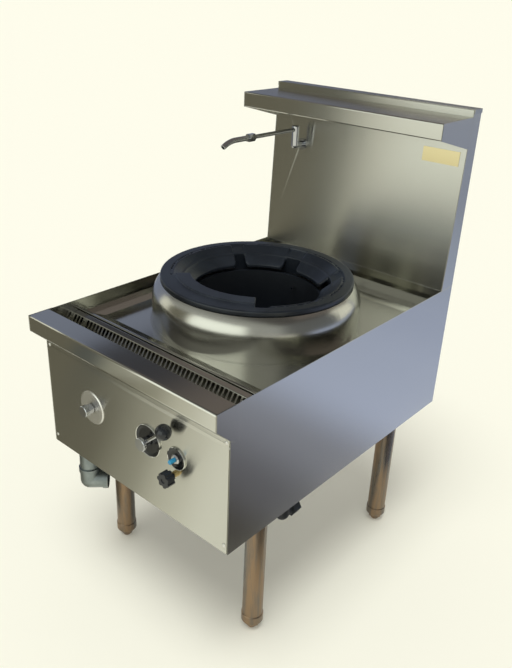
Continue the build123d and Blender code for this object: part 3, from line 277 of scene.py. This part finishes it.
def make_brushing():
    """Fine parallel scratches and cloudy patches. Stretch is how far the pattern is drawn out."""
    group, given, result = new_group(
        "brushing",
        [("Stretch", "NodeSocketVector"), ("Roughness", "NodeSocketFloat"), ("Tint", "NodeSocketColor")],
        [("Color", "NodeSocketColor"), ("Roughness", "NodeSocketFloat")])
    where = object_place(group)
    drawn = combine(group, "MULTIPLY", where, given["Stretch"], "ShaderNodeVectorMath")
    scratches = noise(group, drawn, scale=1.0, detail=3.0, roughness=0.6)
    clouds = noise(group, where, scale=3.2, detail=2.0)
    tone = spread(group, scratches, target=(0.985, 1.012), source=(0.25, 0.75))
    patches = spread(group, clouds, target=(-0.008, 0.008), source=(0.3, 0.7))
    fine = spread(group, scratches, target=(-0.006, 0.006), source=(0.3, 0.7))
    cloudy = combine(group, "ADD", given["Roughness"], patches)
    feed(group, result["Color"], mix_colours(group, 1.0, given["Tint"], tone, "MULTIPLY"))
    feed(group, result["Roughness"], combine(group, "ADD", cloudy, fine))
    return group


brushing = make_brushing()


def dress(tree, **values):
    """Gives a material its Principled shader; its inputs are values or outputs."""
    surface = place(tree, "ShaderNodeBsdfPrincipled", **values)
    place(tree, "ShaderNodeOutputMaterial", Surface=surface.outputs[0])


def brushed_steel(name, stretch, roughness, tint=steel_tint, smear=0.0):
    """Brushed sheet; smear draws reflections out across the scratches, along smear_way."""
    made, tree = blank_material(name)
    marks = place(tree, "ShaderNodeGroup", node_tree=brushing, Stretch=stretch,
                  Roughness=roughness, Tint=tint).outputs
    way = place(tree, "ShaderNodeCombineXYZ", X=smear_way[0], Y=smear_way[1], Z=smear_way[2])
    dress(tree, Metallic=1.0, Base_Color=marks["Color"], Roughness=marks["Roughness"],
          Anisotropic=smear, Tangent=way.outputs[0])
    return made


sheet_across = brushed_steel("sheet_brushed_across", across, 0.22, smear=0.92)
sheet_lengthways = brushed_steel("sheet_brushed_lengthways", front_to_back, 0.18)
sheet_polished = brushed_steel("sheet_polished", across, 0.12)
# The trough's sheet is rough and painted lighter than the steel, as light seen through the strainer's slots.
sheet_trough_painted_light = brushed_steel("sheet_trough_painted_light", across, 0.55, tint=trough_painted_light_tint)


def finish(name, made):
    """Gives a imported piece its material."""
    part = parts[name]
    part.data.materials.clear()
    part.data.materials.append(made)


def break_edges(name, width):
    """Rounds the sharp edges of a packed sheet, so that they catch the light."""
    part = parts[name]
    weld = part.modifiers.new("joined", "WELD")
    weld.merge_threshold = weld_gap
    edge = part.modifiers.new("broken_edge", "BEVEL")
    edge.width = width
    edge.segments = 2
    edge.limit_method = "ANGLE"
    edge.angle_limit = sharp_angle
    edge.harden_normals = True


for name in ("side_panel_left", "side_panel_right", "splash_casing", "shelf_gussets", "ledge_caps"):
    finish(name, sheet_lengthways)
    break_edges(name, folded_edge)
for name in ("front_panel", "front_stiles", "rear_panel", "splash_front", "splash_cap",
             "shelf_tray", "chassis_rail_front", "chassis_rail_rear"):
    finish(name, sheet_across)
    break_edges(name, thin_edge)
for name in ("front_ledge", "gutter_strainer", "gutter_rail", "deck_pan"):
    finish(name, sheet_polished)
break_edges("front_ledge", folded_edge)
break_edges("deck_pan", folded_edge)
finish("gutter_trough", sheet_trough_painted_light)


# ---- Burner collar ----
# One stainless disc, spun on a lathe to its bulged side and rolled lip, that sits on the deck.
# The rings of the tool show, so its reflections are drawn out from the lip down to the foot.
spun_rings = (9, 9, 700)
up = (0, 0, 1)

spun, tree = blank_material("sheet_spun")
marks = place(tree, "ShaderNodeGroup", node_tree=brushing, Stretch=spun_rings,
              Roughness=0.24, Tint=steel_tint).outputs
round_axis = combine(tree, "CROSS_PRODUCT", up, object_place(tree), "ShaderNodeVectorMath")
dress(tree, Metallic=1.0, Base_Color=marks["Color"], Roughness=marks["Roughness"],
      Anisotropic=0.4, Anisotropic_Rotation=0.25, Tangent=round_axis)
finish("burner_collar", spun)


# ---- Screws and tap plate ----
# Dome-headed stainless screws hold the front panel to its two uprights.
# The satin disc behind the water tap is of the same steel.
screw_steel, tree = blank_material("screw_steel")
dress(tree, Metallic=1.0, Base_Color=(0.72, 0.71, 0.68, 1), Roughness=0.34)
finish("panel_screws", screw_steel)
finish("tap_escutcheon", screw_steel)


# ---- Castings ----
# Grey iron from sand moulds: the chamber, the burner and the gas union in heat-proof black.
# The drain's stub and elbow are zinc coated, and fired clay packs the gap round the chamber.
def make_cast_skin():
    """Sand-cast skin: pimples, soft hollows and a little rubbed shine."""
    group, given, result = new_group(
        "cast_skin",
        [("Tint", "NodeSocketColor"), ("Rubbed", "NodeSocketColor"), ("Matt", "NodeSocketFloat")],
        [("Color", "NodeSocketColor"), ("Roughness", "NodeSocketFloat"), ("Height", "NodeSocketFloat")])
    where = object_place(group)
    worn = noise(group, where, scale=9.0, detail=4.0, roughness=0.6)
    rubbed = spread(group, worn, target=(0.0, 1.0), source=(0.45, 0.7))
    gloss = spread(group, worn, target=(-0.06, 0.06), source=(0.3, 0.7))
    feed(group, result["Color"], mix_colours(group, rubbed, given["Tint"], given["Rubbed"]))
    feed(group, result["Roughness"], combine(group, "ADD", given["Matt"], gloss))
    feed(group, result["Height"], noise(group, where, scale=420.0, detail=2.0, roughness=0.55))
    return group


cast_skin = make_cast_skin()
skin_depth = 0.0004


def relief(tree, height, strength, distance):
    """A normal that is raised by a height pattern; the distance is in metres."""
    return place(tree, "ShaderNodeBump", Height=height, Strength=strength,
                 Distance=distance).outputs["Normal"]


def cast_metal(name, tint, rubbed, matt, metallic, grit):
    """A casting's skin; rubbed is its colour where hands and pans have worn it."""
    made, tree = blank_material(name)
    skin = place(tree, "ShaderNodeGroup", node_tree=cast_skin, Tint=tint, Rubbed=rubbed, Matt=matt).outputs
    dress(tree, Metallic=metallic, Base_Color=skin["Color"], Roughness=skin["Roughness"],
          Normal=relief(tree, skin["Height"], grit, skin_depth))
    return made


chamber_iron = cast_metal(
    "chamber_iron", (0.006, 0.009, 0.014, 1), (0.010, 0.014, 0.020, 1), matt=0.6, metallic=0.0, grit=0.25)
zinc = cast_metal(
    "zinc_coated_iron", (0.20, 0.23, 0.23, 1), (0.38, 0.42, 0.42, 1), matt=0.30, metallic=0.85, grit=0.12)
fired_clay = cast_metal(
    "fired_clay", (0.10, 0.10, 0.10, 1), (0.15, 0.15, 0.14, 1), matt=0.8, metallic=0.0, grit=0.5)
for name in ("chamber_liner", "burner_body", "gas_inlet"):
    finish(name, chamber_iron)
for name in ("drain_elbow", "drain_stub"):
    finish(name, zinc)
finish("insulation_ring", fired_clay)


# ---- Wok ring ----
# One grey iron casting in heat-proof black: a flat rim, sloped pads for the wok and a raised land.
# Sand leaves every edge round, so the ring's own skin is laid again on a fine grid and eased.
ring_grid = 0.002
black_iron = cast_metal(
    "black_iron", (0.009, 0.013, 0.019, 1), (0.018, 0.025, 0.035, 1), matt=0.34, metallic=0.0, grit=0.15)
finish("wok_ring", black_iron)

bpy.ops.object.select_all(action="DESELECT")
ring = bpy.data.objects.new("wok_ring_casting", parts["wok_ring"].data.copy())
bpy.context.collection.objects.link(ring)
ring.select_set(True)
bpy.context.view_layer.objects.active = ring
bpy.ops.object.mode_set(mode="EDIT")
bpy.ops.mesh.select_all(action="SELECT")
bpy.ops.mesh.remove_doubles(threshold=weld_gap)
bpy.ops.object.mode_set(mode="OBJECT")
skin = ring.modifiers.new("skin", "REMESH")
skin.mode = "VOXEL"
skin.voxel_size = ring_grid
bpy.ops.object.modifier_apply(modifier="skin")
eased = ring.modifiers.new("eased", "SMOOTH")
eased.factor = 0.5
eased.iterations = 1
bpy.ops.object.modifier_apply(modifier="eased")
bpy.ops.object.shade_smooth()
ring.data.materials.clear()
ring.data.materials.append(black_iron)
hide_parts("wok_ring")
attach(ring, "wok_ring")


# ---- Bright plated pieces ----
# Lever, tap, faucet, ferrule and flame probe, and the valve bodies behind the front panel.
# All are turned or bent brass, chromium plated, with a faint haze on the plating.
chrome, tree = blank_material("chrome")
haze = noise(tree, object_place(tree), scale=60.0, detail=2.0)
dress(tree, Metallic=1.0, Base_Color=(0.50, 0.51, 0.53, 1), Roughness=spread(tree, haze, target=(0.05, 0.12)))
for name in ("gas_valve_head", "gas_lever", "tap_head", "faucet_body", "faucet_arm",
             "faucet_nozzle", "igniter_body", "flame_probe", "gas_valve_body", "tap_valve_body"):
    finish(name, chrome)


# ---- Brass ----
# Bare turned brass: the burner's jets, the pilot and its valve, and the water inlet.
# The small plate on the splashback is brushed brass sheet, left plain.
brass, tree = blank_material("raw_brass")
dress(tree, Metallic=1.0, Base_Color=(0.72, 0.56, 0.28, 1), Roughness=0.32)
for name in ("burner_jets", "pilot_burner", "pilot_valve_body", "water_inlet"):
    finish(name, brass)
finish("blank_plate", brushed_steel("plate_brass", across, 0.14, tint=(0.58, 0.50, 0.29, 1)))


# ---- Pipes ----
# Drawn steel tube behind the panels brings gas and water up from the two inlets.
# The bar that bears the burner has the same dull skin.
pipe_steel = brushed_steel("pipe_steel", front_to_back, 0.34, tint=(0.34, 0.33, 0.31, 1))
for name in ("gas_supply_pipe", "burner_feed_pipe", "pilot_tube", "water_supply_pipe",
             "faucet_feed_pipe", "burner_bearer"):
    finish(name, pipe_steel)


# ---- Plastics ----
# The lever's ball and the star knob are moulded in black phenolic, the igniter's button in blue.
# Each is pressed or screwed onto its stem.
def plastic(name, tint, roughness):
    """Moulded plastic with a fine grain."""
    made, tree = blank_material(name)
    grain = noise(tree, object_place(tree), scale=900.0, detail=1.0)
    dress(tree, Base_Color=(*tint, 1), Roughness=roughness,
          Normal=relief(tree, grain, strength=0.08, distance=0.0001))
    return made


finish("gas_lever_ball", plastic("black_phenolic", (0.012, 0.014, 0.018), 0.16))
finish("star_knob", plastic("black_knob", (0.016, 0.018, 0.022), 0.36))
finish("igniter_button", plastic("blue_button", (0.03, 0.30, 0.55), 0.3))


# ---- Dishes ----
# Two pressed steel dishes on the front panel, behind the gas lever and the igniter's button.
# Black enamel covers each one's face, inside a bright rolled rim.
enamel = (0.008, 0.009, 0.011, 1)
bare_rim = (0.66, 0.66, 0.62, 1)
facing = (1, 0, 1)


def rimmed(material_name, dish, rim_width):
    """Enamel round the dish's middle, out to its rim, and bare steel beyond."""
    corner_x, _, corner_z = zip(*parts[dish].bound_box)
    middle = ((min(corner_x) + max(corner_x)) / 2, 0, (min(corner_z) + max(corner_z)) / 2)
    face_radius = (max(corner_z) - min(corner_z)) / 2 - rim_width
    made, tree = blank_material(material_name)
    offset = combine(tree, "SUBTRACT", object_place(tree), middle, "ShaderNodeVectorMath")
    flat = combine(tree, "MULTIPLY", offset, facing, "ShaderNodeVectorMath")
    reach = place(tree, "ShaderNodeVectorMath", operation="LENGTH", Vector=flat).outputs["Value"]
    bare = combine(tree, "GREATER_THAN", reach, face_radius)
    dress(tree, Metallic=bare, Base_Color=mix_colours(tree, bare, enamel, bare_rim), Roughness=0.14)
    return made


finish("gas_valve_dish", rimmed("valve_dish", "gas_valve_dish", rim_width=0.0018))
finish("button_dish", rimmed("button_dish", "button_dish", rim_width=0.0015))


# ---- Legs and feet ----
# Four steel tubes with turned sleeves, and levelling feet that screw into them.
# Their steel is painted dark as shade, with a painted brown reflection in streaks that run down.
leg_painted_shade = (0.15, 0.145, 0.135, 1)
brown_painted_reflection = (0.31, 0.215, 0.135, 1)
streak_stretch = (38, 38, 4)

leg_steel, tree = blank_material("leg_steel")
drawn = combine(tree, "MULTIPLY", object_place(tree), streak_stretch, "ShaderNodeVectorMath")
streaks = noise(tree, drawn, scale=1.0, detail=4.0, roughness=0.62)
painted_reflection_share = spread(tree, streaks, target=(0.0, 1.0), source=(0.38, 0.60))
# The colour mixes the steel's painted shade with the painted brown reflection, by the streaks.
dress(tree, Metallic=0.9, Base_Color=mix_colours(tree, painted_reflection_share, leg_painted_shade, brown_painted_reflection),
      Roughness=spread(tree, painted_reflection_share, target=(0.24, 0.42)))
for name in ("legs", "leg_sleeves", "foot_front_left", "foot_front_right", "foot_rear_left",
             "foot_rear_right"):
    finish(name, leg_steel)
